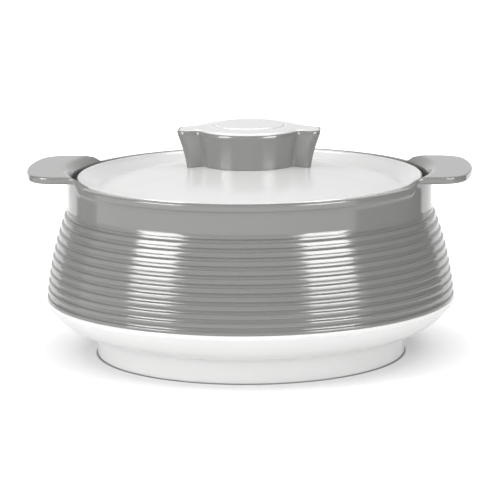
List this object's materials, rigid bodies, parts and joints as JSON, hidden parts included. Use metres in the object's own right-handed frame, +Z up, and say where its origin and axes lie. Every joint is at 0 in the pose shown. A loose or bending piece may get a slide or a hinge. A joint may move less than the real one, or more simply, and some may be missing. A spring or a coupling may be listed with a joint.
{
  "type": "insulated chapati casserole",
  "caption": "Round double-walled hot pot with ribbed flared body, steel bowl, two ears at the rim and a lift-off insulated lid with a winged knob.",
  "frame": {"origin": "centre of the foot ring on the surface that the casserole stands on", "axes": "+Z up along the axis of the round body, the two ears along +X and -X, the front towards -Y"},
  "size_m": [0.2674, 0.246, 0.1388],
  "materials": {
    "grey_plastic": "gloss",
    "white_plastic": "gloss",
    "steel": "satin",
    "silicone": "matte",
    "foam": "matte",
    "screw_steel": "satin"
  },
  "bodies": {
    "casserole_body": {"outer_body": "grey_plastic", "inner_bowl": "steel", "body_foam": "foam", "base_dish": "white_plastic", "base_fill_plug": "white_plastic"},
    "lid": {"lid_cover": "white_plastic", "lid_liner": "white_plastic", "lid_foam": "foam", "lid_gasket": "silicone", "lid_fill_plug": "white_plastic", "knob_body": "grey_plastic", "knob_cap": "white_plastic", "knob_disc": "white_plastic", "knob_screws": "screw_steel", "knob_washers": "screw_steel"}
  },
  "joints": [
    {"name": "lid_lift", "type": "slide", "parent": "casserole_body", "child": "lid", "axis": [0, 0, 1], "range_m": [0, 0.15]}
  ]
}
